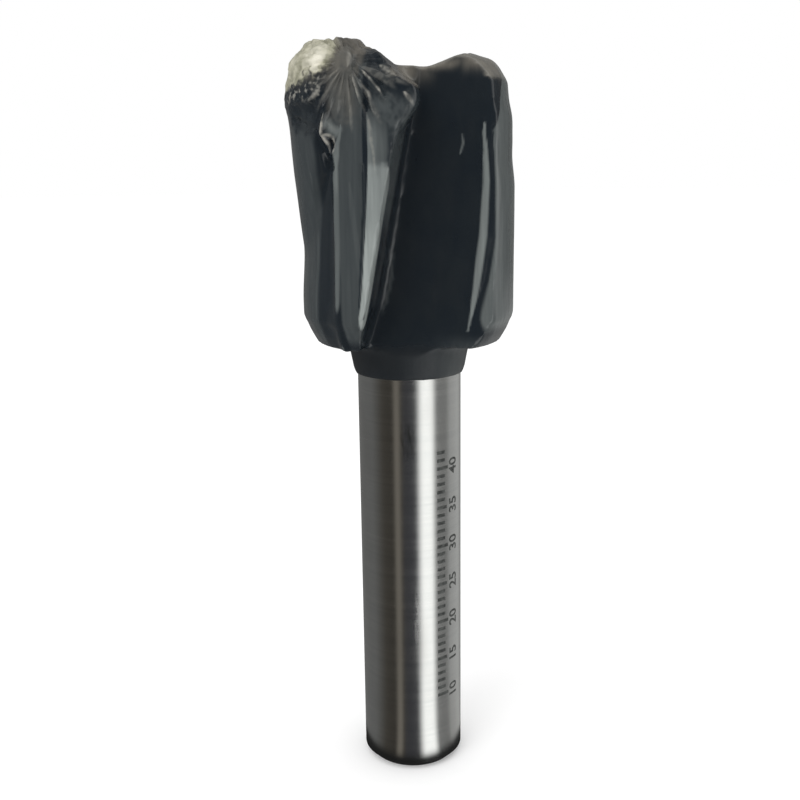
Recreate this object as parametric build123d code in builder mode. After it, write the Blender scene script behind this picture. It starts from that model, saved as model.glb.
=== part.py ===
from build123d import *
from math import cos, radians, sin, sqrt, tan
import os

# Two-flute router bit with brazed carbide tips, its cutting end dipped in a peel-off film.
# Millimetres. +Z runs along the tool axis from the shank's end to the cutting end, and the origin
# is the centre of the shank's flat end. Azimuths are measured from -Y, the front, towards +X.

# Shank and neck
shank_radius = 6.35             # half-inch shank
shank_length = 51.1
shank_end_chamfer = 0.9
neck_top_radius = 7.0
neck_bevel = 0.7

# Cutting head
cutting_radius = 12.5           # the carbide edges cut 25 mm wide and 25 mm long
cutting_length = 25.0
backing_radius = 12.1           # steel behind the edges, relieved so that only carbide cuts
head_bottom = 55.5
tip_start = 58.2
head_top = tip_start + cutting_length
steel_setback = 0.4             # the tips stand this far past the steel
bottom_bevel_height = 3.2
bottom_bevel_depth = 1.8
corner_bevel = 1.6              # on the outer corners of the cutting end
end_dish_radius = 6.2           # hollow ground in the middle of the end
end_dish_depth = 1.4

# Flutes: milled straight, leaning forwards by the shear angle, with an arc at the neck
edge_azimuth = -16.5            # of the first cutting edge, at mid height
shear_angle = 11.0
hook_angle = 4.0
flute_depth = 7.2
flute_opening = 67.0            # degrees of the rim, from the edge to the heel
floor_width = 6.5
floor_rise = 0.9
face_root_radius = 1.5
floor_radius = 4.5
overrun = 3.0                   # how far the milling profile stands outside the rim
runout_radius = 12.0
runout_start = 62.0
runout_arc = 72.0

# Carbide tips
tip_thickness = 2.4
tip_width = 5.8
land_width = 0.8                # full-radius margin behind each edge
land_drop = 0.25                # fall of the relieved land at the tip's back

# Film
film_thickness = 0.35
film_radius = 12.85
film_shoulder = 81.0            # the rim starts to round over here
shoulder_bevels = 3
film_crown_radius = 7.6
film_crown = 88.5
film_centre = 86.6
saddle = [                      # the film dips between the wings: across the tool, and height
    (-4.6, 89.0),
    (-1.4, 86.5),
    (2.4, 86.4),
    (8.4, 89.0),
]
fold_depth = 6.5                # the film falls away over each leading corner, outside this radius
fold_low = (4.6, 82.4)          # two points of the fold, along the rim and above the shank's end
fold_high = (-0.9, 88.4)
fold_overrun = 0.5              # share of the fold's length that it is cut past each point
drip_sections = [               # height, centre x, centre y, half width, half depth
    (64.0, -9.6, -1.5, 2.9, 4.0),
    (75.0, -8.9, -2.5, 4.6, 7.0),
    (83.0, -8.3, -3.0, 5.7, 8.6),
    (87.3, -8.4, -3.2, 4.8, 7.4),
    (89.3, -8.0, -3.4, 3.0, 4.8),
]

flutes = (edge_azimuth, edge_azimuth + 180)
middle = (head_bottom + head_top) / 2
edge = Vector(0, -cutting_radius)
face_inwards = Vector(-sin(radians(hook_angle)), cos(radians(hook_angle)))
face_backwards = Vector(-cos(radians(hook_angle)), -sin(radians(hook_angle)))


def flute_plane(azimuth, height):
    """Plane square to a flute's leaning line: x runs along the rim and y towards the axis."""
    turn, lean = radians(azimuth), radians(shear_angle)
    along = Vector(cos(turn), sin(turn), 0)
    line = Vector(0, 0, cos(lean)) + along * sin(lean)
    across = along * cos(lean) - Vector(0, 0, sin(lean))
    origin = Vector(0, 0, middle) + line * ((height - middle) / cos(lean))
    return Plane(origin=origin, x_dir=across, z_dir=line)


def rim_plane(azimuth, radius):
    """Upright plane that faces outwards at this radius: x runs along the rim and y is height."""
    turn = radians(azimuth)
    outwards = Vector(sin(turn), -cos(turn), 0)
    return Plane(origin=outwards * radius, x_dir=(cos(turn), sin(turn), 0), z_dir=outwards)


def flute_corners():
    """The milled section: cutting face, root, floor, heel, and the overrun outside the rim."""
    root = edge + face_inwards * flute_depth
    floor_end = root + Vector(floor_width, floor_rise)
    opening = radians(flute_opening)
    heel = Vector(cutting_radius * sin(opening), -cutting_radius * cos(opening))
    heel_out = heel + (heel - floor_end).normalized() * (overrun + 1)
    face_out = edge - face_inwards * overrun
    return [face_out, root, floor_end, heel_out, Vector(heel_out.X, face_out.Y)]


def flute_section(plane, inset):
    """Sketch of a flute on a plane square to it, smaller by an inset all round."""
    with BuildSketch(plane) as section:
        with BuildLine():
            Polyline(*flute_corners(), close=True)
        make_face()
        fillet(section.vertices().sort_by(Axis.Y)[-2], face_root_radius)
        fillet(section.vertices().sort_by(Axis.Y)[-1], floor_radius)
        if inset:
            offset(amount=-inset, mode=Mode.REPLACE)
    return section.sketch


def mill_flutes(inset):
    """Cut both flutes in the part being built: straight up the head, with an arc down to the neck."""
    for azimuth in flutes:
        start = flute_plane(azimuth, runout_start)
        section = flute_section(start, inset)
        extrude(section, amount=2 * cutting_length, mode=Mode.SUBTRACT)
        pivot = start.from_local_coords((0, flute_depth - cutting_radius - runout_radius, 0))
        revolve(section, axis=Axis(pivot, -start.x_dir), revolution_arc=runout_arc, mode=Mode.SUBTRACT)


def reach_of_rim(start, heading, radius):
    """Distance back along a heading, from a point inside, to a circle about the tool's axis."""
    lead = start.dot(heading)
    return -lead - sqrt(lead**2 - start.dot(start) + radius**2)


def tip_corners():
    """A tip's section: edge with grinding stock, face, back, relieved land and margin."""
    turn = land_width / cutting_radius
    margin_end = Vector(-cutting_radius * sin(turn), -cutting_radius * cos(turn))
    back = edge + face_backwards * tip_thickness
    heel = back + face_inwards * reach_of_rim(back, face_inwards, cutting_radius - land_drop)
    stock = (margin_end - heel).normalized() * land_width
    inner = edge + face_inwards * tip_width
    return [edge - face_inwards * land_width, inner, inner + face_backwards * tip_thickness, heel,
            margin_end + stock]


def seat_corners():
    """The recess milled in a wing for its tip, open at the face and at the rim."""
    front = face_backwards * -1.0
    inner = edge + face_inwards * tip_width
    outer = edge - face_inwards * overrun
    back = face_backwards * tip_thickness
    return [outer + front, inner + front, inner + back, outer + back]


def head_outline(radius, top):
    """The head's turned edge, from its underside round to the hollow in its end."""
    return [
        (radius - bottom_bevel_depth, head_bottom),
        (radius, head_bottom + bottom_bevel_height),
        (radius, top - corner_bevel),
        (radius - corner_bevel, top),
        (end_dish_radius, top),
        (0, top - end_dish_depth),
    ]


def film_shoulder_points():
    """The film's rounded shoulder, a quarter of an ellipse in three straight bevels."""
    width, height = film_radius - film_crown_radius, film_crown - film_shoulder
    turns = [radians(90 * step / shoulder_bevels) for step in range(shoulder_bevels + 1)]
    return [(film_crown_radius + width * cos(t), film_shoulder + height * sin(t)) for t in turns]


# Steel body: shank, neck and two-wing head turned from one bar, then milled.
with BuildPart() as cutter_body:
    with BuildSketch(Plane.XZ):
        with BuildLine():
            Polyline(
                (0, 0),
                (shank_radius - shank_end_chamfer, 0),
                (shank_radius, shank_end_chamfer),
                (shank_radius, shank_length),
                (neck_top_radius, head_bottom - neck_bevel),
                (neck_top_radius + neck_bevel, head_bottom),
                *head_outline(backing_radius, head_top - steel_setback),
                close=True,
            )
        make_face()
    revolve(axis=Axis.Z)
    mill_flutes(0)
    for azimuth in flutes:
        with BuildSketch(flute_plane(azimuth, tip_start)):
            with BuildLine():
                Polyline(*seat_corners(), close=True)
            make_face()
        extrude(amount=2 * cutting_length, mode=Mode.SUBTRACT)
    cutter_body.part.label = "cutter_body"

# The form that the carbide is ground to once it is brazed in.
with BuildPart() as ground_form:
    with BuildSketch(Plane.XZ):
        with BuildLine():
            Polyline((0, head_bottom), *head_outline(cutting_radius, head_top), close=True)
        make_face()
    revolve(axis=Axis.Z)

# Carbide tips: flat plates in the wings' seats, with a full-radius margin and a relieved land.
tips = []
for azimuth in flutes:
    with BuildPart() as carbide_tip:
        with BuildSketch(flute_plane(azimuth, tip_start)):
            with BuildLine():
                Polyline(*tip_corners(), close=True)
            make_face()
        extrude(amount=2 * cutting_length)
        add(ground_form.part, mode=Mode.INTERSECT)
    carbide_tip.part.label = f"carbide_tip_{len(tips) + 1}"
    tips.append(carbide_tip.part)

# Film: a thin skin on the wings, down the flutes and round the neck, gathered in thick lobes at the
# end it drained to, with a hanging drip on one wing.
with BuildPart() as protective_film:
    with BuildSketch(Plane.XZ):
        with BuildLine():
            Polyline(
                (0, film_centre),
                (0, shank_length),
                (shank_radius + film_thickness, shank_length),
                (neck_top_radius + film_thickness, head_bottom - film_thickness - neck_bevel),
                (neck_top_radius + film_thickness + neck_bevel, head_bottom - film_thickness),
                (film_radius - bottom_bevel_depth, head_bottom - film_thickness),
                (film_radius, head_bottom - film_thickness + bottom_bevel_height),
                *film_shoulder_points(),
                close=True,
            )
        make_face()
    revolve(axis=Axis.Z)
    mill_flutes(film_thickness)
    with BuildSketch(Plane.XZ):
        with BuildLine():
            Polyline(*saddle, close=True)
        make_face()
    extrude(amount=cutting_radius, both=True, mode=Mode.SUBTRACT)
    for height, x, y, half_width, half_depth in drip_sections:
        with BuildSketch(Plane.XY.offset(height)):
            with Locations((x, y)):
                Ellipse(half_width, half_depth)
    loft(ruled=True)
    for azimuth in flutes:
        with BuildSketch(rim_plane(azimuth, fold_depth)):
            with BuildLine():
                overrun_step = (Vector(*fold_low) - Vector(*fold_high)) * fold_overrun
                low = Vector(*fold_low) + overrun_step
                high = Vector(*fold_high) - overrun_step
                Polyline(low, high, (low.X, high.Y), close=True)
            make_face()
        extrude(amount=cutting_radius, mode=Mode.SUBTRACT)
    add(cutter_body.part, mode=Mode.SUBTRACT)
    add(tips, mode=Mode.SUBTRACT)
    protective_film.part.label = "protective_film"

os.makedirs("parts", exist_ok=True)
for piece in (cutter_body.part, *tips, protective_film.part):
    export_step(piece, f"parts/{piece.label}.step")
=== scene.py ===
import math

import bpy
import numpy as np
from mathutils import Matrix, Vector, noise
from mathutils.bvhtree import BVHTree


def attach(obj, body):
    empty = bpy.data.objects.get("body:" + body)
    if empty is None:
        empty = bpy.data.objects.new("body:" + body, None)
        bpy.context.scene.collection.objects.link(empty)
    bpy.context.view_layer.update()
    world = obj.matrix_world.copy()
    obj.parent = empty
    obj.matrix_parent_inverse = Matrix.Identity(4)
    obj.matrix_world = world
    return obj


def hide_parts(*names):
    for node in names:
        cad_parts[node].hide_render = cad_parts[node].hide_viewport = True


MM = 0.001

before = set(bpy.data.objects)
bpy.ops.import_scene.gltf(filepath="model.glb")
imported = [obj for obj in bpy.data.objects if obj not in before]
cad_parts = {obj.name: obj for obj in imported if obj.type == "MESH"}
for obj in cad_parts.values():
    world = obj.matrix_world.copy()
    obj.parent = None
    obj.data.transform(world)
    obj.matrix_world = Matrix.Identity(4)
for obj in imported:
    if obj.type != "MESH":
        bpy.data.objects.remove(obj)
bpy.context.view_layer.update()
bpy.ops.object.select_all(action="DESELECT")

# ---- Camera ------------------------------------------------------------------------------------
CAMERA_AIM_HEIGHT = 47.4 * MM     # height on the tool's axis that the view is centred on
CAMERA_DISTANCE = 124.5 * MM
CAMERA_ELEVATION = math.radians(12.8)
CAMERA_SIDESTEP = 1.19 * MM
CAMERA_ROLL = math.radians(0.77)
CAMERA_LENS = 45.0                # on a 36 mm sensor


def add_camera():
    aim = Vector((-CAMERA_SIDESTEP, 0, CAMERA_AIM_HEIGHT))
    back = Vector((0, -math.cos(CAMERA_ELEVATION), math.sin(CAMERA_ELEVATION)))
    bpy.ops.object.camera_add(location=aim + back * CAMERA_DISTANCE)
    camera = bpy.context.object
    level = (-back).to_track_quat("-Z", "Y").to_matrix()
    camera.rotation_euler = (level @ Matrix.Rotation(-CAMERA_ROLL, 3, "Z")).to_euler()
    camera.data.lens = CAMERA_LENS
    camera.data.sensor_width = 36.0
    camera.data.clip_start = 1 * MM
    camera.data.clip_end = 20.0
    bpy.context.scene.camera = camera


add_camera()


# ---- Small helpers -----------------------------------------------------------------------------
def new_material(name):
    material = bpy.data.materials.new(name)
    material.use_nodes = True
    nodes = material.node_tree.nodes
    return material, nodes, material.node_tree.links, nodes["Principled BSDF"]


def math_node(nodes, links, operation, first, second=None):
    """A Math node fed by sockets or plain numbers; returns its output."""
    node = nodes.new("ShaderNodeMath")
    node.operation = operation
    for socket, value in zip(node.inputs, (first, second)):
        if value is None:
            continue
        if isinstance(value, (int, float)):
            socket.default_value = value
        else:
            links.new(value, socket)
    return node.outputs[0]


def mix_colour(nodes, links, factor, first, second):
    """A colour mix; each colour is a socket or an RGB triple. Returns its output."""
    node = nodes.new("ShaderNodeMix")
    node.data_type = "RGBA"
    for name, value in (("Factor_Float", factor), ("A_Color", first), ("B_Color", second)):
        socket = next(s for s in node.inputs if s.identifier == name)
        if isinstance(value, (int, float)):
            socket.default_value = value
        elif isinstance(value, tuple):
            socket.default_value = (*value, 1)
        else:
            links.new(value, socket)
    return next(s for s in node.outputs if s.identifier == "Result_Color")


def remap(nodes, links, value, low, high, to_low=0.0, to_high=1.0):
    """Map Range from a socket, clamped; returns its output."""
    node = nodes.new("ShaderNodeMapRange")
    links.new(value, node.inputs["Value"])
    node.inputs["From Min"].default_value = low
    node.inputs["From Max"].default_value = high
    node.inputs["To Min"].default_value = to_low
    node.inputs["To Max"].default_value = to_high
    return node.outputs["Result"]


def object_noise(nodes, links, scale, detail=3.0, distortion=0.0):
    """Noise in Object coordinates, its three scales in features per metre; returns the value."""
    coordinates = nodes.new("ShaderNodeTexCoord")
    mapping = nodes.new("ShaderNodeMapping")
    mapping.inputs["Scale"].default_value = scale
    links.new(coordinates.outputs["Object"], mapping.inputs["Vector"])
    texture = nodes.new("ShaderNodeTexNoise")
    texture.inputs["Scale"].default_value = 1.0
    texture.inputs["Detail"].default_value = detail
    texture.inputs["Distortion"].default_value = distortion
    links.new(mapping.outputs["Vector"], texture.inputs["Vector"])
    return texture.outputs["Fac"]


def attribute(nodes, name):
    node = nodes.new("ShaderNodeAttribute")
    node.attribute_name = name
    return node.outputs["Fac"]


def bump(nodes, links, height, distance, strength=1.0):
    node = nodes.new("ShaderNodeBump")
    node.inputs["Strength"].default_value = strength
    node.inputs["Distance"].default_value = distance
    links.new(height, node.inputs["Height"])
    return node.outputs["Normal"]


def step(value, low, high):
    """0 below low, easing up to 1 at high."""
    share = np.clip((value - low) / (high - low), 0, 1)
    return share * share * (3 - 2 * share)


def fall(value, start, end):
    """1 below start, easing down to 0 at end."""
    return step(-value, -end, -start)


def band(value, start, full, fade, end):
    """1 between full and fade, easing down to 0 at start and at end."""
    return step(value, start, full) * fall(value, fade, end)


def vector_array(values, field, length):
    numbers = np.empty(length * 3)
    values.foreach_get(field, numbers)
    return numbers.reshape(-1, 3)


def points_of(mesh):
    return vector_array(mesh.vertices, "co", len(mesh.vertices))


def normals_of(mesh):
    return vector_array(mesh.vertex_normals, "vector", len(mesh.vertices))


def apply_modifier(piece, kind, **settings):
    bpy.ops.object.select_all(action="DESELECT")
    piece.select_set(True)
    bpy.context.view_layer.objects.active = piece
    bpy.ops.object.modifier_add(type=kind)
    modifier = piece.modifiers[-1]
    for name, value in settings.items():
        setattr(modifier, name, value)
    bpy.ops.object.modifier_apply(modifier=modifier.name)


# ---- Stage: floor, world, studio ---------------------------------------------------------------
FLOOR_RADIUS = 4.0
PAPER = 0.9                  # reflectance of the white floor paper
PAPER_LIFT = 0.14            # seen directly, the paper reads as pure white
STUDIO_FLOOR = 0.1 * MM
STUDIO_RADIUS = 90 * MM
STUDIO_HEIGHT = 260 * MM
LOW_STUDIO_TOP = 46 * MM     # below this the cards and flags are those that the shank sees
STUDIO_BLEND = 10 * MM       # the height over which they turn into those that the head sees
FOOT_DARK = (8.5 * MM, 10 * MM)  # the floor is dark in reflections this near the shank's axis
FOOT_SHADE = (0.02, 0.02, 0.02)
SHANK_RADIUS = 6.35 * MM

KEY_PLACE, KEY_AIM = (-0.35, -0.45, 0.6), (0, 0, 0.05)
KEY_SIZE, KEY_POWER = 0.5, 1.6

NEUTRAL, WARM, COOL = (1.0, 1.0, 0.98), (1.08, 0.98, 0.84), (0.97, 0.98, 1.08)

# Cards and flags round the tool: degrees from the front towards +X, brightness and tint.
LOW_STUDIO = [
    (-180, 0.20, NEUTRAL), (-150, 0.17, NEUTRAL), (-95, 0.16, NEUTRAL), (-64, 0.065, WARM),
    (-40, 0.045, WARM), (-33, 0.22, WARM), (-27, 0.21, WARM), (-21, 0.07, WARM), (-14, 0.055, COOL),
    (12, 0.060, COOL), (26, 1.60, NEUTRAL), (48, 1.60, NEUTRAL), (60, 0.24, NEUTRAL),
    (88, 0.25, NEUTRAL), (100, 0.44, NEUTRAL), (135, 0.52, NEUTRAL), (160, 0.24, NEUTRAL),
    (180, 0.20, NEUTRAL),
]
HIGH_STUDIO = [
    (-180, 0.20, NEUTRAL), (-100, 0.12, NEUTRAL), (-88, 0.24, NEUTRAL), (-76, 0.24, NEUTRAL),
    (-66, 0.06, NEUTRAL), (40, 0.05, COOL), (64, 0.22, NEUTRAL), (78, 0.95, NEUTRAL),
    (102, 0.95, NEUTRAL), (114, 0.09, NEUTRAL), (142, 0.09, NEUTRAL), (160, 0.22, NEUTRAL),
    (180, 0.20, NEUTRAL),
]


def add_floor():
    bpy.ops.mesh.primitive_circle_add(vertices=96, radius=FLOOR_RADIUS, fill_type="NGON")
    floor = bpy.context.object
    floor.name = "floor"
    material, nodes, links, shader = new_material("floor_paper")
    shader.inputs["Base Color"].default_value = (PAPER, PAPER, PAPER, 1)
    shader.inputs["Roughness"].default_value = 0.9
    shader.inputs["Specular IOR Level"].default_value = 0.0
    shader.inputs["Emission Color"].default_value = (1, 1, 1, 1)
    seen = nodes.new("ShaderNodeLightPath").outputs["Is Camera Ray"]
    links.new(math_node(nodes, links, "MULTIPLY", seen, PAPER_LIFT),
              shader.inputs["Emission Strength"])
    floor.data.materials.append(material)


def set_world():
    world = bpy.data.worlds.new("studio")
    bpy.context.scene.world = world
    world.use_nodes = True
    background = world.node_tree.nodes["Background"]
    background.inputs["Color"].default_value = (1, 1, 1, 1)
    background.inputs["Strength"].default_value = 1.0


def azimuth_ramp(nodes, links, azimuth, stops):
    """Brightness from a ramp laid round the tool."""
    ramp = nodes.new("ShaderNodeValToRGB")
    elements = ramp.color_ramp.elements
    for index, (degrees, level, tint) in enumerate(stops):
        place = (degrees + 180) / 360
        element = elements[index] if index < 2 else elements.new(place)
        element.position = place
        element.color = (*(level * share for share in tint), 1)
    links.new(azimuth, ramp.inputs["Fac"])
    return ramp.outputs["Color"]


def add_studio():
    """A bowl of cards and flags round the tool, seen only in its reflections."""
    bpy.ops.mesh.primitive_cylinder_add(
        vertices=180, radius=STUDIO_RADIUS, depth=STUDIO_HEIGHT,
        location=(0, 0, STUDIO_FLOOR + STUDIO_HEIGHT / 2))
    studio = bpy.context.object
    studio.name = "studio_cards"
    bpy.ops.object.transform_apply()
    material, nodes, links, shader = new_material("studio_cards")
    coordinates = nodes.new("ShaderNodeTexCoord")
    split = nodes.new("ShaderNodeSeparateXYZ")
    links.new(coordinates.outputs["Object"], split.inputs[0])
    forward = math_node(nodes, links, "MULTIPLY", split.outputs["Y"], -1.0)
    azimuth = math_node(nodes, links, "ARCTAN2", split.outputs["X"], forward)
    square = math_node(nodes, links, "ADD", math_node(nodes, links, "POWER", forward, 2.0),
                       math_node(nodes, links, "POWER", split.outputs["X"], 2.0))
    radius = math_node(nodes, links, "SQRT", square)
    # Near the foot the cards' edges keep to one side of the shank, so that it shows them straight.
    half = math_node(nodes, links, "SINE", math_node(nodes, links, "MULTIPLY", azimuth, 0.5))
    beside = math_node(nodes, links, "DIVIDE", math_node(nodes, links, "MULTIPLY", half,
                                                         SHANK_RADIUS), radius)
    turned = math_node(nodes, links, "ADD", azimuth, math_node(nodes, links, "ARCSINE", beside))
    turn = remap(nodes, links, turned, -math.pi, math.pi)
    foot = remap(nodes, links, radius, FOOT_DARK[0], FOOT_DARK[1])
    low = azimuth_ramp(nodes, links, turn, LOW_STUDIO)
    high = azimuth_ramp(nodes, links, turn, HIGH_STUDIO)
    rise = remap(nodes, links, split.outputs["Z"], LOW_STUDIO_TOP,
                 LOW_STUDIO_TOP + STUDIO_BLEND)
    shader.inputs["Base Color"].default_value = (0, 0, 0, 1)
    shader.inputs["Specular IOR Level"].default_value = 0.0
    around = mix_colour(nodes, links, rise, low, high)
    links.new(mix_colour(nodes, links, foot, FOOT_SHADE, around), shader.inputs["Emission Color"])
    shader.inputs["Emission Strength"].default_value = 1.0
    studio.data.materials.append(material)
    studio.visible_camera = False
    studio.visible_diffuse = False
    studio.visible_transmission = False
    studio.visible_shadow = False


def add_key_lamp():
    bpy.ops.object.light_add(type="AREA", location=KEY_PLACE)
    lamp = bpy.context.object
    lamp.data.shape = "DISK"
    lamp.data.size = KEY_SIZE
    lamp.data.energy = KEY_POWER
    lamp.rotation_euler = (Vector(KEY_AIM) - lamp.location).to_track_quat("-Z", "Y").to_euler()
    lamp.visible_glossy = False


add_floor()
set_world()
add_studio()
add_key_lamp()

# ---- Steel and carbide -------------------------------------------------------------------------
STEEL_TONES = (0.54, 0.55, 0.545), (0.62, 0.625, 0.615)
STEEL_SMUDGE, STEEL_STAIN = (0.40, 0.385, 0.365), (0.24, 0.24, 0.215)
STAIN_CENTRE, STAIN_REACH = (-0.4, -6.4, 43.8), (1.1, 2.0, 3.0)      # mm, on the shank's front
SCUFF_CENTRE, SCUFF_REACH = (0.6, -6.3, 21.0), (0.5, 1.5, 4.5)
CARBIDE_TONES = (0.28, 0.29, 0.30), (0.36, 0.37, 0.38)
STEEL_GRIND, CARBIDE_GRIND = 9000.0, 14000.0                         # lines per metre


def build_grinding_group():
    """Fine circumferential grinding: a tone that varies up the tool, and its height."""
    group = bpy.data.node_groups.new("fine_grinding", "ShaderNodeTree")
    group.interface.new_socket("Lines per metre", in_out="INPUT", socket_type="NodeSocketFloat")
    group.interface.new_socket("Tone", in_out="OUTPUT", socket_type="NodeSocketFloat")
    group.interface.new_socket("Height", in_out="OUTPUT", socket_type="NodeSocketFloat")
    nodes, links = group.nodes, group.links
    ends = nodes.new("NodeGroupInput"), nodes.new("NodeGroupOutput")
    coordinates = nodes.new("ShaderNodeTexCoord")
    split = nodes.new("ShaderNodeSeparateXYZ")
    links.new(coordinates.outputs["Object"], split.inputs[0])
    heights = []
    for share, around in ((1.0, 60.0), (0.13, 40.0)):
        scaled = nodes.new("ShaderNodeCombineXYZ")
        links.new(math_node(nodes, links, "MULTIPLY", split.outputs["X"], around), scaled.inputs[0])
        links.new(math_node(nodes, links, "MULTIPLY", split.outputs["Y"], around), scaled.inputs[1])
        lines = math_node(nodes, links, "MULTIPLY", ends[0].outputs["Lines per metre"], share)
        links.new(math_node(nodes, links, "MULTIPLY", split.outputs["Z"], lines), scaled.inputs[2])
        texture = nodes.new("ShaderNodeTexNoise")
        texture.inputs["Scale"].default_value = 1.0
        texture.inputs["Detail"].default_value = 2.0
        links.new(scaled.outputs[0], texture.inputs["Vector"])
        heights.append(texture.outputs["Fac"])
    tone = math_node(nodes, links, "ADD", math_node(nodes, links, "MULTIPLY", heights[0], 0.5),
                     math_node(nodes, links, "MULTIPLY", heights[1], 0.5))
    links.new(remap(nodes, links, tone, 0.3, 0.7), ends[1].inputs["Tone"])
    links.new(heights[0], ends[1].inputs["Height"])
    return group


def patch(nodes, links, centre, reach):
    """1 in the middle of an oval patch (millimetres) on the tool, fading to 0 at its edge."""
    coordinates = nodes.new("ShaderNodeTexCoord")
    offset, scaled = nodes.new("ShaderNodeVectorMath"), nodes.new("ShaderNodeVectorMath")
    offset.operation, scaled.operation = "SUBTRACT", "MULTIPLY"
    links.new(coordinates.outputs["Object"], offset.inputs[0])
    offset.inputs[1].default_value = [value * MM for value in centre]
    links.new(offset.outputs[0], scaled.inputs[0])
    scaled.inputs[1].default_value = [1 / (value * MM) for value in reach]
    length = nodes.new("ShaderNodeVectorMath")
    length.operation = "LENGTH"
    links.new(scaled.outputs[0], length.inputs[0])
    return remap(nodes, links, length.outputs["Value"], 1.0, 0.35)


def place_group(nodes, group, **values):
    node = nodes.new("ShaderNodeGroup")
    node.node_tree = group
    for name, value in values.items():
        node.inputs[name.replace("_", " ")].default_value = value
    return node


def make_ground_steel(grinding):
    material, nodes, links, shader = new_material("ground_steel_finish")
    grind = place_group(nodes, grinding, Lines_per_metre=STEEL_GRIND)
    smudge = remap(nodes, links, object_noise(nodes, links, (260, 260, 90), 2.0), 0.5, 0.75)
    clean = mix_colour(nodes, links, grind.outputs["Tone"], *STEEL_TONES)
    dirty = mix_colour(nodes, links, math_node(nodes, links, "MULTIPLY", smudge, 0.22), clean,
                       STEEL_SMUDGE)
    streaks = remap(nodes, links, object_noise(nodes, links, (1900, 1900, 420), 3.0), 0.42, 0.62)
    stain = math_node(nodes, links, "MULTIPLY", streaks,
                      patch(nodes, links, STAIN_CENTRE, STAIN_REACH))
    links.new(mix_colour(nodes, links, math_node(nodes, links, "MULTIPLY", stain, 0.85), dirty,
                         STEEL_STAIN), shader.inputs["Base Color"])
    shader.inputs["Metallic"].default_value = 1.0
    rough = remap(nodes, links, grind.outputs["Tone"], 0.0, 1.0, 0.16, 0.24)
    scuff = math_node(nodes, links, "MULTIPLY", streaks,
                      patch(nodes, links, SCUFF_CENTRE, SCUFF_REACH))
    for wear, amount in ((smudge, 0.05), (scuff, 0.16)):
        rough = math_node(nodes, links, "ADD", rough,
                          math_node(nodes, links, "MULTIPLY", wear, amount))
    links.new(rough, shader.inputs["Roughness"])
    links.new(bump(nodes, links, grind.outputs["Height"], 0.0012 * MM), shader.inputs["Normal"])
    return material


def make_carbide(grinding):
    material, nodes, links, shader = new_material("carbide_finish")
    grind = place_group(nodes, grinding, Lines_per_metre=CARBIDE_GRIND)
    links.new(mix_colour(nodes, links, grind.outputs["Tone"], *CARBIDE_TONES),
              shader.inputs["Base Color"])
    shader.inputs["Metallic"].default_value = 1.0
    links.new(remap(nodes, links, grind.outputs["Tone"], 0.0, 1.0, 0.26, 0.36),
              shader.inputs["Roughness"])
    links.new(bump(nodes, links, grind.outputs["Height"], 0.001 * MM), shader.inputs["Normal"])
    return material


grinding_group = build_grinding_group()
ground_steel = make_ground_steel(grinding_group)
carbide = make_carbide(grinding_group)
for node_name, finish in (("cutter_body", ground_steel), ("carbide_tip_1", carbide),
                          ("carbide_tip_2", carbide)):
    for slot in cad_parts[node_name].material_slots:
        slot.material = finish

# ---- Etched scale ------------------------------------------------------------------------------
SCALE_FROM, SCALE_TO = 10, 42            # mm above the shank's end, one tick each
TICK_AZIMUTH, NUMBER_AZIMUTH = 30.0, 47.0
TICK_HEIGHT = 0.42 * MM
TICK_LENGTHS = {10: 1.70 * MM, 5: 1.50 * MM, 1: 1.20 * MM}
NUMBER_SIZE = 2.1 * MM
NUMBER_BOLD = 0.035 * MM
NUMBER_DROP = 0.72 * NUMBER_SIZE         # from a number's top to its foot, with some room
ETCH_DEPTH = 0.02 * MM                   # most of it below the steel's surface
ETCH_PROUD = 0.006 * MM
ETCH_TONES = (0.022, 0.025, 0.024), (0.075, 0.080, 0.075)


def flat_tick(height):
    """A tick lying flat: x runs round the shank and y up it."""
    length = next(size for step_size, size in TICK_LENGTHS.items() if height % step_size == 0)
    start = math.radians(TICK_AZIMUTH) * SHANK_RADIUS
    bpy.ops.mesh.primitive_grid_add(x_subdivisions=8, y_subdivisions=1, size=1)
    tick = bpy.context.object
    tick.scale = (length, TICK_HEIGHT, 1)
    tick.location = (start + length / 2, height * MM, 0)
    bpy.ops.object.transform_apply()
    return tick


def flat_number(height):
    """A number lying flat beside its tick, read up the shank."""
    bpy.ops.object.text_add()
    number = bpy.context.object
    number.data.body = str(height)
    number.data.size = NUMBER_SIZE
    number.data.offset = NUMBER_BOLD
    number.data.align_x = "CENTER"
    number.data.resolution_u = 4
    bpy.ops.object.convert(target="MESH")
    number = bpy.context.object
    number.rotation_euler = (0, 0, math.radians(90))
    foot = math.radians(NUMBER_AZIMUTH) * SHANK_RADIUS + NUMBER_DROP
    number.location = (foot, height * MM, 0)
    bpy.ops.object.transform_apply()
    return number


def slice_across(piece, start, end, count):
    """Cut a flat piece into strips, so that it can bend round the shank."""
    bpy.context.view_layer.objects.active = piece
    bpy.ops.object.mode_set(mode="EDIT")
    for place in np.linspace(start, end, count):
        bpy.ops.mesh.select_all(action="SELECT")
        bpy.ops.mesh.bisect(plane_co=(place, 0, 0), plane_no=(1, 0, 0))
    bpy.ops.object.mode_set(mode="OBJECT")


def wrap_round_shank(piece):
    points = points_of(piece.data)
    turn = points[:, 0] / SHANK_RADIUS
    radius = SHANK_RADIUS + ETCH_PROUD + points[:, 2]
    wrapped = np.stack([radius * np.sin(turn), -radius * np.cos(turn), points[:, 1]], axis=1)
    piece.data.vertices.foreach_set("co", wrapped.ravel())
    piece.data.update()


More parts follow.
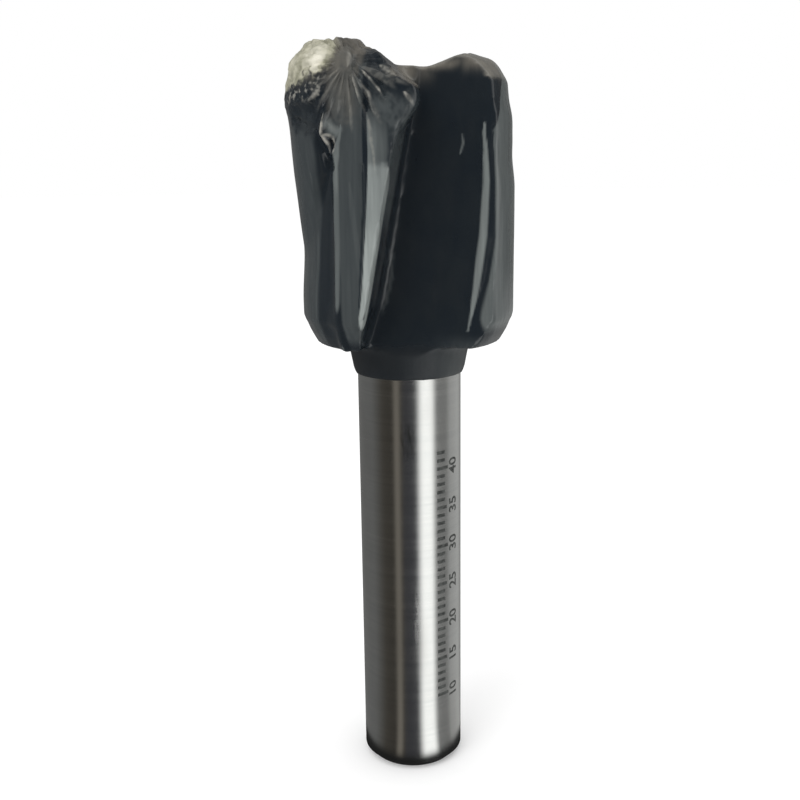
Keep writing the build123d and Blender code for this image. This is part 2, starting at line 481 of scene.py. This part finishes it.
def build_scale():
    marks = [flat_tick(height) for height in range(SCALE_FROM, SCALE_TO + 1)]
    marks += [flat_number(height) for height in range(SCALE_FROM, SCALE_TO + 1, 5)]
    bpy.ops.object.select_all(action="DESELECT")
    for mark in marks:
        mark.select_set(True)
    bpy.context.view_layer.objects.active = marks[0]
    bpy.ops.object.join()
    scale = bpy.context.object
    scale.name = "etched_scale"
    first = math.radians(NUMBER_AZIMUTH - 2) * SHANK_RADIUS
    slice_across(scale, first, first + NUMBER_SIZE, 8)
    apply_modifier(scale, "SOLIDIFY", thickness=ETCH_DEPTH, offset=-1.0)
    wrap_round_shank(scale)
    bpy.ops.object.mode_set(mode="EDIT")
    bpy.ops.mesh.select_all(action="SELECT")
    bpy.ops.mesh.normals_make_consistent(inside=False)
    bpy.ops.object.mode_set(mode="OBJECT")
    return scale


def make_etched_finish():
    material, nodes, links, shader = new_material("etched_marks")
    patchy = object_noise(nodes, links, (2200, 2200, 2200), 3.0)
    links.new(mix_colour(nodes, links, remap(nodes, links, patchy, 0.35, 0.65), *ETCH_TONES),
              shader.inputs["Base Color"])
    links.new(remap(nodes, links, patchy, 0.3, 0.7, 0.45, 0.7), shader.inputs["Roughness"])
    return material


etched_scale = build_scale()
etched_scale.data.materials.clear()
etched_scale.data.materials.append(make_etched_finish())
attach(etched_scale, "root")

# ---- Film: shape -------------------------------------------------------------------------------
# A line on the film is a list of (azimuth, height): degrees from the front towards +X, and
# millimetres above the shank's end. Each point is found on the film's surface at that place,
# or lies at a radius given as a third number.
NECK_EDGE = 51.1 * MM
FILM_VOXEL = 0.4 * MM
LEAST_FILM = 0.12            # mm of film over the metal

BEAD = [(-33.5, 80.1), (-35, 78.4), (-36.5, 77.3), (-38, 75.7), (-37.7, 72), (-37.6, 66.8),
        (-38.3, 61), (-41, 55.6)]
CURL = [(-39, 81.4), (-41, 80.4), (-42, 79.5), (-41, 78.5), (-40, 77.9), (-40, 77.2)]
CURL_LOOP = [(-41.8, 79.2), (-39.8, 79.1), (-38.0, 78.8), (-37.2, 78.1), (-38.2, 77.2)]
EYE = [(-38.8, 78.2), (-38.8, 77.9)]
OVERHANG = [(-60, 80.6), (-54, 79.9), (-50, 79.7), (-47, 79.5), (-44, 78.6), (-42, 77.3),
            (-41, 75.7)]
GULLY = [(-42, 76), (-44, 74.3), (-45.5, 70), (-47, 63.3), (-50, 58)]
LAND_LINE = [(-23, 75.8), (-23, 71), (-24.2, 66.9), (-26.5, 60.3)]
LONG_PLEAT = [(-29, 86.3), (-21, 85.0), (-15, 83.8), (-11, 82.7)]
SHORT_PLEATS = [
    [(-30, 85.5), (-26, 84.0), (-23, 82.1)],
    [(-24, 84.6), (-20, 83.3), (-18, 82.2), (-16, 81.2)],
    [(-20, 81.3), (-18, 79.6), (-17, 77.9), (-16, 75.3)],
]
CREST = [(-34, 87.7), (-32, 86.9), (-32, 86.0)]
LOBE_RIM = [(-36, 88.6), (-30, 88.2), (-24, 87.7), (-18, 87.0), (-14, 86.0), (-11, 85.1)]
TORN_EDGE = [(-45, 82.6), (-42, 83.1), (-39, 83.7)]
RIM_FLECK = [(-15, 86.3), (-10, 85.5), (-6, 84.9)]
# ROOT_STREAK is a painted highlight in the fillet at the flute's root.
ROOT_STREAK = [(-20.7, 67.2, 6.5), (-19.9, 65.8, 5.7), (-20.9, 63.2, 5.5), (-27.5, 60.4, 5.8),
               (-30.8, 58.6, 6.3)]
TIP_TEAR = [(-1.5, 83.3), (1.5, 82.5), (4.2, 81.7)]
POCKETS = [[(-14.5, 84.1), (-12, 83.3)], [(-21, 82.8), (-20, 81.6)], [(-17, 84.9), (-15, 84.4)]]
HOLLOW = [(-53, 81.0), (-47, 81.2)]
HEEL_SWELL = [(48, 80.2), (48, 74), (47, 68), (46, 65), (45, 62), (41, 57.2)]
HEEL_CREASE = [(50, 79.8), (50, 74), (50, 67.8), (47.5, 63), (44, 59)]
LOBE_TIP = (0.6, -10.8, 82.3)      # x, y and z of the lobe that hangs over the front flute
LOBE_REACH = 1.9                   # mm
LOBE_PULL = (1.8 * MM, 0.3 * MM)   # to the right and to the front
RIGHT_LOBE = 7.3                   # x of the other lobe's top, in mm, and how much it sinks
RIGHT_LOBE_DROP = 0.35 * MM
RIM_PASSES = 24                    # of smoothing on the upper rims
PINCH = (-6.3, 86.6)               # x and z that the pleats run out from
CREAM_FADE = ([85.5, 86.3, 87.5, 88.5], [-9.0, -8.6, -7.9, -7.7])
CREAM_EDGE = ([-14.0, -12.7, -11.9, -11.3, -10.6, -9.8, -9.0, -8.3, -7.5, -6.9],
              [84.0, 84.4, 84.8, 85.1, 85.7, 85.1, 85.9, 86.2, 87.0, 89.5])
LAND_HEIGHTS = [59.2, 61.4, 64.2, 66.2, 68.3, 71.5, 74.8, 77.3]
LAND_LEFT = [-26.5, -24.9, -23.6, -22.9, -21.9, -20.9, -20.0, -19.6]
LAND_RIGHT = [-24.4, -21.5, -18.6, -16.6, -15.0, -12.2, -9.8, -8.4]

RIDGES = [  # line, half width, height
    (BEAD, 0.45, 0.34), (CURL, 0.22, 0.40), (CURL_LOOP, 0.20, 0.25), (TORN_EDGE, 0.22, 0.35),
    (LONG_PLEAT, 0.20, 0.42), (CREST, 0.40, 0.22), (SHORT_PLEATS[0], 0.18, 0.25),
    (SHORT_PLEATS[1], 0.18, 0.28), (SHORT_PLEATS[2], 0.35, 0.20), (HEEL_SWELL, 0.45, 0.20),
]
CREASES = [  # line, half width, depth
    (OVERHANG, 0.35, 0.42), (GULLY, 0.85, 0.26), (LAND_LINE, 0.20, 0.18), (EYE, 0.25, 0.45),
    (POCKETS[0], 0.38, 0.45), (POCKETS[1], 0.30, 0.35), (POCKETS[2], 0.35, 0.35),
    (LOBE_RIM, 0.28, 0.25), (HOLLOW, 1.20, 0.60), (HEEL_CREASE, 0.30, 0.12),
]
# Whitened lines with painted glints on them.
WHITENING_AND_GLINT_LINES = [  # line, half width, strength
    (CURL, 0.17, 0.80), (CURL_LOOP, 0.17, 0.55), (TORN_EDGE, 0.24, 0.6), (CREST, 0.26, 0.35),
    (SHORT_PLEATS[0], 0.14, 0.4), (SHORT_PLEATS[1], 0.14, 0.45), (SHORT_PLEATS[2], 0.18, 0.25),
    (RIM_FLECK, 0.32, 0.5), (TIP_TEAR, 0.20, 0.60),
]
# Painted highlights along the rims.
RIM_HIGHLIGHTS = [  # line along the rims, half width, strength
    ([(15, 86.2), (29, 86.5), (38, 86.7)], 0.38, 0.95),
    ([(44, 86.7), (52, 86.6), (58, 86.4), (62, 85.7)], 0.60, 0.95),
    ([(-3, 85.6), (3, 85.8)], 0.9, 0.95),
    ([(8, 85.7), (15, 85.8)], 0.8, 0.55),
]
# The strips, streaks and flecks from here to BESIDE_CURL are painted highlights and reflections on
# the film.
LEFT_STRIP = ([58.5, 66.6, 72.2, 77], [-55.5, -52.5, -49.5, -46.5])       # height, azimuth
LEFT_STREAK = [(-52, 75), (-55, 66.6), (-58, 58.5)]
MIDDLE_STREAK = [(-30, 74), (-29, 71.7), (-26, 66.3), (-25, 62)]
RIGHT_STRIP = ([58.5, 62.5, 67.8, 79.4, 81.7, 84.1, 86], [45.5, 47.6, 50, 50, 56, 61.5, 68])
RIGHT_STREAK = [(52, 79), (52, 72), (51.8, 67), (49, 62)]
FLUTE_FLECK = [(42, 79.2), (42, 78.1), (41, 76.8)]
BESIDE_CURL = [(-38.5, 80.2), (-36.5, 79.3), (-34.5, 79.6)]
CREAM_SPOT = (-9.4, 86.5)          # x and z of the milky lump's brightest place


def lumps(points, size, octaves=3):
    """Smooth noise from -1 to 1 with features of about this size, in millimetres."""
    return np.array([noise.fractal(Vector(p) / (size * MM), 0.7, 2.0, octaves) for p in points])


def waver(points, size, amount):
    """Points pushed about by noise, so that a line drawn on them wanders as a real crease does."""
    push = np.array([noise.noise_vector(Vector(p) / (size * MM)) for p in points]) * amount * MM
    return points + push * (0.12 + 0.88 * step(points[:, 2] / MM, 75, 79))[:, None]


class FilmLines:
    """Lines drawn on the film's surface before it is creased."""

    def __init__(self, piece):
        self.tree = BVHTree.FromObject(piece, bpy.context.evaluated_depsgraph_get())
        self.points = waver(points_of(piece.data), 1.3, 0.16) / MM

    def place(self, azimuth, height, radius=None):
        turn = math.radians(azimuth)
        outwards = Vector((math.sin(turn), -math.cos(turn), 0))
        if radius:
            return np.array(outwards * radius + Vector((0, 0, height)))
        found = None
        while found is None:          # a place just above the film's edge moves down to it
            start = outwards * 30 * MM + Vector((0, 0, height * MM))
            found = self.tree.ray_cast(start, -outwards)[0]
            height -= 0.1
        return np.array(found) / MM

    def distance(self, line):
        """How far each film point is from a line in millimetres, and how far along it that is."""
        places = [self.place(*spot) for spot in line]
        nearest = np.full(len(self.points), np.inf)
        along = np.zeros(len(self.points))
        for index, (start, end) in enumerate(zip(places[:-1], places[1:])):
            run = end - start
            share = np.clip((self.points - start) @ run / (run @ run), 0, 1)
            apart = np.linalg.norm(self.points - start - share[:, None] * run, axis=1)
            closer = apart < nearest
            nearest = np.where(closer, apart, nearest)
            along = np.where(closer, (index + share) / (len(line) - 1), along)
        return nearest, along

    def swell(self, line, half_width):
        """A rounded ridge: 1 along the line, falling away to 0 at its sides."""
        return np.exp(-0.5 * (self.distance(line)[0] / half_width) ** 2)

    def mark(self, line, half_width, soft=0.5):
        """A painted line with fairly sharp sides and tapered ends."""
        nearest, along = self.distance(line)
        width = half_width * (0.12 + 0.88 * np.sin(np.pi * np.clip(along, 0.01, 0.99)) ** 0.6)
        return step(-nearest, -width * (1 + soft), -width * (1 - soft))


def merged_copy(node_names, name):
    """One object made of copies of CAD nodes, with its loose triangles merged."""
    bpy.ops.object.select_all(action="DESELECT")
    for node_name in node_names:
        piece = bpy.data.objects.new(name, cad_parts[node_name].data.copy())
        bpy.context.collection.objects.link(piece)
        piece.select_set(True)
        bpy.context.view_layer.objects.active = piece
    if len(node_names) > 1:
        bpy.ops.object.join()
    piece = bpy.context.object
    piece.name = name
    bpy.ops.mesh.customdata_custom_splitnormals_clear()
    bpy.ops.object.mode_set(mode="EDIT")
    bpy.ops.mesh.select_all(action="SELECT")
    bpy.ops.mesh.remove_doubles(threshold=0.001 * MM)
    bpy.ops.object.mode_set(mode="OBJECT")
    return piece


def cut_below(piece, height):
    bpy.context.view_layer.objects.active = piece
    bpy.ops.object.mode_set(mode="EDIT")
    bpy.ops.mesh.select_all(action="SELECT")
    bpy.ops.mesh.bisect(plane_co=(0, 0, height), plane_no=(0, 0, 1), clear_inner=True,
                        use_fill=True)
    bpy.ops.object.mode_set(mode="OBJECT")


def refine(piece, area):
    """Quarter the faces in an area, given as a test of face centres (mm) and normals."""
    mesh = piece.data
    centres = vector_array(mesh.polygons, "center", len(mesh.polygons)) / MM
    normals = vector_array(mesh.polygons, "normal", len(mesh.polygons))
    chosen = area(centres, normals)
    bpy.ops.object.mode_set(mode="EDIT")
    bpy.ops.mesh.select_all(action="DESELECT")
    bpy.ops.object.mode_set(mode="OBJECT")
    mesh.polygons.foreach_set("select", chosen)
    bpy.ops.object.mode_set(mode="EDIT")
    bpy.ops.mesh.subdivide(number_cuts=1, smoothness=0.0)
    bpy.ops.object.mode_set(mode="OBJECT")


def front_area(centres, normals):
    radius = np.hypot(centres[:, 0], centres[:, 1])
    seen = (centres[:, 1] < -1) & (centres[:, 2] > 55) & (normals[:, 1] < 0.2)
    return seen & ((radius > 8.8) | (centres[:, 2] > 83))


def creased_area(centres, _):
    radius = np.hypot(centres[:, 0], centres[:, 1])
    return (centres[:, 1] < -5) & (centres[:, 0] < 1.5) & (centres[:, 2] > 75.2) & (radius > 10.8)


def round_rims(piece):
    """Round the upper rims more, except over the front left tooth where the film is pleated."""
    points = points_of(piece.data) / MM
    weights = step(points[:, 2], 82.5, 85) * np.maximum(step(points[:, 0], 0, 3),
                                                        step(points[:, 1], -3, 0))
    group = piece.vertex_groups.new(name="rims")
    for index in np.flatnonzero(weights > 0.01):
        group.add([int(index)], float(weights[index]), "REPLACE")
    apply_modifier(piece, "SMOOTH", factor=0.5, iterations=RIM_PASSES, vertex_group="rims")
    piece.vertex_groups.remove(piece.vertex_groups["rims"])


def pull_film(piece):
    """Shape the film as a whole: the lobe over the flute, and the rims where it lies tightest."""
    mesh = piece.data
    points = points_of(mesh)
    pull = np.exp(-0.5 * (np.linalg.norm(points / MM - LOBE_TIP, axis=1) / LOBE_REACH) ** 2)
    points[:, 0] += LOBE_PULL[0] * pull
    points[:, 1] -= LOBE_PULL[1] * pull
    across, height = points[:, 0] / MM, points[:, 2] / MM
    radius = np.hypot(points[:, 0], points[:, 1]) / MM
    tight = 0.15 * step(radius, 11.8, 12.6)
    tight += 0.30 * step(-across, 8, 12) * band(height, 60, 66, 80, 84)
    tight += 0.33 * step(across, 8, 12) * band(height, 73, 77, 84, 87)
    points[:, :2] *= (1 - tight / np.maximum(radius, 1))[:, None]
    drop = np.exp(-0.5 * ((across - RIGHT_LOBE) / 2.2) ** 2) * step(-points[:, 1] / MM, -3, 1)
    points[:, 2] -= RIGHT_LOBE_DROP * drop * step(height, 84.5, 86.5)
    mesh.vertices.foreach_set("co", points.ravel())
    mesh.update()


def pleat_fan(points):
    """Fine pleats that run out from the pinch at the top of the front lobe."""
    across, up = points[:, 0] / MM - PINCH[0], points[:, 2] / MM - PINCH[1]
    turn, reach = np.arctan2(across, -up), np.hypot(across, up)
    waves = np.array([noise.noise(Vector((t * 9.0, r * 0.16, 4.2))) for t, r in zip(turn, reach)])
    return waves * step(reach, 0.8, 2.2) * step(-reach, -9.0, -4.5) * (points[:, 1] < -6 * MM)


def crease_film(piece, lines):
    mesh = piece.data
    points, normals = points_of(mesh), normals_of(mesh)
    height = points[:, 2] / MM
    on_wing = step(np.hypot(points[:, 0], points[:, 1]) / MM, 9.0, 11.5)
    left = step(-points[:, 0] / MM, 0, 3)
    rise = np.zeros(len(points))
    for line, half_width, amount in RIDGES:
        rise += amount * lines.swell(line, half_width)
    for line, half_width, amount in CREASES:
        rise -= amount * lines.swell(line, half_width)
    rise += 0.30 * pleat_fan(points) * on_wing
    rise += 0.16 * lumps(points, 3.0) * step(height, 80, 85) * left
    rise += 0.08 * lumps(points, 5.0) * step(height, 76, 83)
    rise += 0.10 * lumps(points, 0.9) * step(height, 80.5, 82.5) * step(-points[:, 0] / MM, 7.5, 9)
    rise += 0.03 * lumps(points * np.array((1, 1, 0.2)), 1.6) * on_wing
    points += normals * (rise * MM)[:, None]
    mesh.vertices.foreach_set("co", points.ravel())
    mesh.update()


def keep_outside(piece, metal):
    """Move film points that came too near the metal back out."""
    tree = BVHTree.FromObject(metal, bpy.context.evaluated_depsgraph_get())
    least = LEAST_FILM * MM
    for vertex in piece.data.vertices:
        if vertex.co.z < NECK_EDGE + least:
            continue
        place, normal, _, distance = tree.find_nearest(vertex.co)
        away = vertex.co - place
        if away.dot(normal) < -0.9 * distance:
            vertex.co = place + normal * least
        elif distance < least:
            vertex.co = place + (away.normalized() if distance > 0.01 * MM else normal) * least
    piece.data.update()


class FilmPlaces:
    """What the painted masks read at each point of the film, in millimetres and degrees."""

    def __init__(self, piece):
        self.points, self.normals = points_of(piece.data), normals_of(piece.data)
        x, y = self.points[:, 0], self.points[:, 1]
        self.across, self.height = x / MM, self.points[:, 2] / MM
        self.radius = np.hypot(x, y) / MM
        self.azimuth = np.degrees(np.arctan2(x, -y))
        self.on_wing = step(self.radius, 10.3, 11.6)
        self.ragged = 0.8 * lumps(self.points, 1.5) + 0.5 * lumps(self.points, 0.5)
        self.broken = step(lumps(self.points, 0.9), -0.5, 0.3)
        self.fan = pleat_fan(self.points)


def paint_milk(at):
    """Where the film is thick, torn and milky: the lump on the left."""
    spot = ((at.across - CREAM_SPOT[0]) / 0.9) ** 2 + ((at.height - CREAM_SPOT[1]) / 0.9) ** 2
    milk = 0.72 + 0.10 * lumps(at.points, 1.2) + 0.30 * np.exp(-0.5 * spot)
    milk *= step(at.height + at.ragged - np.interp(at.across, *CREAM_EDGE), -0.5, 0.6)
    fade = np.interp(at.height, *CREAM_FADE)
    return milk * step(-at.across + 0.3 * at.ragged, -fade - 0.8, -fade + 0.7)


def paint_stress(at, lines):
    """Whitened film with painted glints: pleats, curls, torn edges and flecks, and painted light on
    the tops.
    """
    whitening_and_glint = 0.75 * lines.mark(LONG_PLEAT, 0.12)
    for line, width, amount in WHITENING_AND_GLINT_LINES:
        whitening_and_glint = np.maximum(whitening_and_glint, amount * lines.mark(line, width, 0.8))
    whitening_and_glint *= 0.30 + 0.70 * at.broken
    pleats = step(at.fan, 0.10, 0.45) * (0.3 + 0.7 * at.broken) * at.on_wing
    whitening_and_glint = np.maximum(whitening_and_glint, 0.17 * pleats)
    flecks = step(lumps(at.points, 0.6), 0.1, 0.7) * step(at.height, 82.0, 83.4)
    flecks *= step(-at.across, 8.2, 9.5)
    whitening_and_glint = np.maximum(whitening_and_glint, 0.50 * flecks * at.on_wing)
    # Painted light: faces turned upwards at the top are lighter.
    top = step(at.normals[:, 2], 0.2, 0.7) * step(at.height, 84, 85.5)
    return np.maximum(whitening_and_glint, 0.25 * top * step(at.across, -1.5, 0.5))


def paint_haze(at, lines):
    """The film's cloud, with painted light on the head's top and rims and painted shade in its
    creases.
    """
    cloudy = np.maximum(step(lumps(at.points, 4.0), -0.3, 0.5), step(at.radius, 8.5, 11.5))
    # Painted light: faces turned upwards near the top are lighter.
    cloud_and_sheen = 0.9 * step(at.normals[:, 2], 0.15, 0.8) * step(at.height, 82, 84)
    cloud_and_sheen *= 0.45 + 0.55 * cloudy
    cloud_and_sheen *= 1 - 0.9 * step(at.azimuth, -27, -24) * step(-at.azimuth, 7, 10)
    beside_lump = step(at.height + at.ragged, 83.3, 86.5) * step(-at.across, 4.6, 6.6)
    below_pinch = step(at.height + at.ragged, 79, 82) * step(at.across, -9.0, -8.2)
    below_pinch *= step(-at.across, 4.6, 6.0) * at.on_wing
    cloud_and_sheen = np.maximum(cloud_and_sheen, np.maximum(0.72 * beside_lump, 0.36 * below_pinch))
    # Painted highlights along the rims.
    for line, width, amount in RIM_HIGHLIGHTS:
        cloud_and_sheen = np.maximum(cloud_and_sheen, amount * lines.swell(line, width))
    # Painted shade in the groove along the lobe's rim.
    cloud_and_sheen *= 1 - 0.85 * lines.mark(LOBE_RIM, 0.38)
    # Painted light and shade on the pleats: lighter on their crests, darker in their troughs.
    cloud_and_sheen *= 1 + 0.6 * at.fan * at.on_wing * fall(at.height, 85.4, 86.2)
    # Painted shade in the hollow.
    return cloud_and_sheen * (1 - 0.9 * lines.swell(HOLLOW, 1.1))


def paint_land(at):
    """The light land of the front tip, seen through the film, narrow at its foot."""
    left = np.interp(at.height, LAND_HEIGHTS, LAND_LEFT)
    right = np.interp(at.height, LAND_HEIGHTS, LAND_RIGHT)
    share = np.clip((at.azimuth - left) / (right - left), 0, 1)
    upper = step(at.height + 0.3 * at.ragged, 75.2, 76.4)
    land = step(at.azimuth, left - 0.4, left + 0.4)
    land *= step(-at.azimuth, -right - 0.4, -right + 0.4 + 2 * upper)
    land *= 0.66 + 0.24 * fall(at.height, 67, 71) - upper * (0.24 + 0.28 * share)
    return land * (1 - 0.9 * step(at.height, 78, 83)) * step(at.height, 57.4, 58.4)


def paint_thin(at, lines):
    """Painted highlights and reflections on the film: strips, streaks and the bead; and the front
    tip's land, seen through it.
    """
    # Painted reflections: the left strip and the streaks beside it.
    edge = np.interp(at.height, *LEFT_STRIP)
    land_and_sheen = 0.09 * step(-at.azimuth, -edge - 1, -edge + 2)
    land_and_sheen *= step(-at.height + 1.6 * at.ragged, -82, -78)
    land_and_sheen += 0.05 * lines.mark(LEFT_STREAK, 0.25)
    middle = step(-at.azimuth, 22, 23) * step(at.azimuth, -37, -35.5) * step(at.height, 55.5, 57)
    land_and_sheen = np.maximum(land_and_sheen, (0.125 + 0.08 * at.fan) * middle)
    # Painted highlight along the bead's ridge.
    land_and_sheen = np.maximum(land_and_sheen, (0.30 + 0.10 * step(at.height, 72, 74)) * lines.mark(BEAD, 0.45))
    land_and_sheen += 0.04 * lines.mark(MIDDLE_STREAK, 0.3)

    grey = step(at.height, 77, 80) * step(-at.height - 0.5 * at.ragged, -84, -82)
    grey *= band(at.azimuth, -21, -15, 6, 12)
    grey *= 0.4 + 0.6 * step(lumps(at.points, 1.6), -0.4, 0.4)
    land_and_sheen = np.maximum(land_and_sheen, 0.15 * grey)
    land_and_sheen = np.maximum(land_and_sheen, paint_land(at)) * at.on_wing

    # Painted reflection: rake faces turned towards +X are lighter.
    rake = step(at.normals[:, 0], 0.7, 0.9) * step(at.radius, 7.0, 8.8) * (at.points[:, 1] < 0)
    land_and_sheen = np.maximum(land_and_sheen, 0.16 * rake * band(at.height, 67, 72, 78, 81))
    beside_curl = lines.swell(BESIDE_CURL, 0.42) * (0.6 + 0.4 * at.broken)
    land_and_sheen = np.maximum(land_and_sheen, 0.42 * beside_curl)
    # Painted highlight in the fillet at the flute's root.
    land_and_sheen = np.maximum(land_and_sheen, 0.12 * lines.mark(ROOT_STREAK, 0.22))

    # Painted reflections: the right strip and its streak.
    edge = np.interp(at.height, *RIGHT_STRIP)
    right_strip = step(at.azimuth, edge - 0.5, edge + 0.7) * fall(at.azimuth, 110, 140)
    land_and_sheen = np.maximum(land_and_sheen, 0.28 * right_strip * step(at.height, 56.5, 58))
    land_and_sheen += 0.10 * lines.mark(RIGHT_STREAK, 0.20)
    land_and_sheen = np.maximum(land_and_sheen, 0.11 * band(at.azimuth, 15, 50, 60, 80) * fall(at.height, 55, 57))
    # Painted highlight on the heel's rounded swell.
    land_and_sheen = np.maximum(land_and_sheen, 0.50 * lines.mark(HEEL_SWELL, 0.46, 0.35))
    # Painted shade along the heel crease and the land line.
    land_and_sheen *= 1 - 0.9 * lines.mark(HEEL_CREASE, 0.24)
    land_and_sheen *= 1 - 0.9 * lines.mark(LAND_LINE, 0.14)
    return np.maximum(land_and_sheen, 0.27 * lines.mark(FLUTE_FLECK, 0.14))


def paint_film(piece, lines):
    at = FilmPlaces(piece)
    masks = {"land_and_sheen": paint_thin(at, lines), "milk": paint_milk(at),
             "cloud_and_sheen": paint_haze(at, lines), "whitening_and_glint": paint_stress(at, lines)}
    for name, values in masks.items():
        layer = piece.data.attributes.new(name, "FLOAT", "POINT")
        layer.data.foreach_set("value", np.clip(values, 0, 1))


def build_film():
    metal = merged_copy(("cutter_body", "carbide_tip_1", "carbide_tip_2"), "film_inside")
    film = merged_copy(("protective_film", "cutter_body", "carbide_tip_1", "carbide_tip_2"),
                       "film_skin")
    cut_below(film, NECK_EDGE)
    apply_modifier(film, "REMESH", mode="VOXEL", voxel_size=FILM_VOXEL)
    apply_modifier(film, "SMOOTH", factor=0.5, iterations=3)
    refine(film, front_area)
    refine(film, creased_area)
    apply_modifier(film, "SMOOTH", factor=0.5, iterations=3)
    round_rims(film)
    pull_film(film)
    lines = FilmLines(film)
    paint_film(film, lines)
    crease_film(film, lines)
    keep_outside(film, metal)
    apply_modifier(film, "BOOLEAN", operation="DIFFERENCE", solver="EXACT", object=metal)
    bpy.data.objects.remove(metal)
    film.data.materials.clear()
    bpy.ops.object.shade_smooth_by_angle(angle=math.radians(50))
    return film


# ---- Film: finish, with painted light and shade ------------------------------------------------
FILM_TONES = (0.008, 0.012, 0.017), (0.013, 0.018, 0.022)
# colour of the painted highlights and reflections on the film, and of the land seen through it
LAND_AND_SHEEN_COLOUR = (0.300, 0.328, 0.316)
# colour of the film's cloud and of the painted light on its top and rims
CLOUD_AND_SHEEN_COLOUR = (0.165, 0.150, 0.125)
# colour of the whitened film and of the painted glints
WHITENING_AND_GLINT_COLOUR = (0.41, 0.395, 0.35)
CREAM_TONES = (0.24, 0.235, 0.170), (0.44, 0.425, 0.325)
CREAM_BRIGHT = (0.74, 0.71, 0.60)
MATT_NECK = (55.6 * MM, 54.4 * MM)   # the film turns matt below the first height


def make_film_finish():
    material, nodes, links, shader = new_material("dark_film_with_painted_light")
    cloud = object_noise(nodes, links, (500, 500, 260), 4.0, 0.4)
    drain = object_noise(nodes, links, (1500, 1500, 90), 3.0, 0.2)
    speck = object_noise(nodes, links, (900, 900, 900), 4.0, 0.5)
    dark = mix_colour(nodes, links, cloud, *FILM_TONES)
    # painted highlights and reflections, and the land seen through the film
    land_and_sheen = math_node(nodes, links, "MULTIPLY", attribute(nodes, "land_and_sheen"),
                     remap(nodes, links, drain, 0.3, 0.7, 0.8, 1.15))
    colour = mix_colour(nodes, links, land_and_sheen, dark, LAND_AND_SHEEN_COLOUR)
    cloud_and_sheen = math_node(nodes, links, "MULTIPLY", attribute(nodes, "cloud_and_sheen"),
                     remap(nodes, links, cloud, 0.3, 0.7, 0.35, 1.0))
    colour = mix_colour(nodes, links, cloud_and_sheen, colour, CLOUD_AND_SHEEN_COLOUR)
    colour = mix_colour(nodes, links, attribute(nodes, "whitening_and_glint"), colour, WHITENING_AND_GLINT_COLOUR)
    milk = attribute(nodes, "milk")
    cream = mix_colour(nodes, links, remap(nodes, links, speck, 0.35, 0.62), *CREAM_TONES)
    cream = mix_colour(nodes, links, remap(nodes, links, milk, 0.72, 1.0), cream, CREAM_BRIGHT)
    links.new(mix_colour(nodes, links, remap(nodes, links, milk, 0.0, 0.6), colour, cream),
              shader.inputs["Base Color"])
    rough = remap(nodes, links, cloud, 0.3, 0.7, 0.15, 0.24)
    rough = math_node(nodes, links, "ADD", rough, math_node(nodes, links, "MULTIPLY", milk, 0.25))
    coordinates, split = nodes.new("ShaderNodeTexCoord"), nodes.new("ShaderNodeSeparateXYZ")
    links.new(coordinates.outputs["Object"], split.inputs[0])
    matt = remap(nodes, links, split.outputs["Z"], *MATT_NECK, 0.0, 0.3)
    links.new(math_node(nodes, links, "ADD", rough, matt), shader.inputs["Roughness"])
    links.new(bump(nodes, links, drain, 0.02 * MM), shader.inputs["Normal"])
    return material


film_skin = build_film()
film_skin.data.materials.append(make_film_finish())
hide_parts("protective_film")
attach(film_skin, "root")

bpy.context.scene.view_settings.view_transform = "Standard"
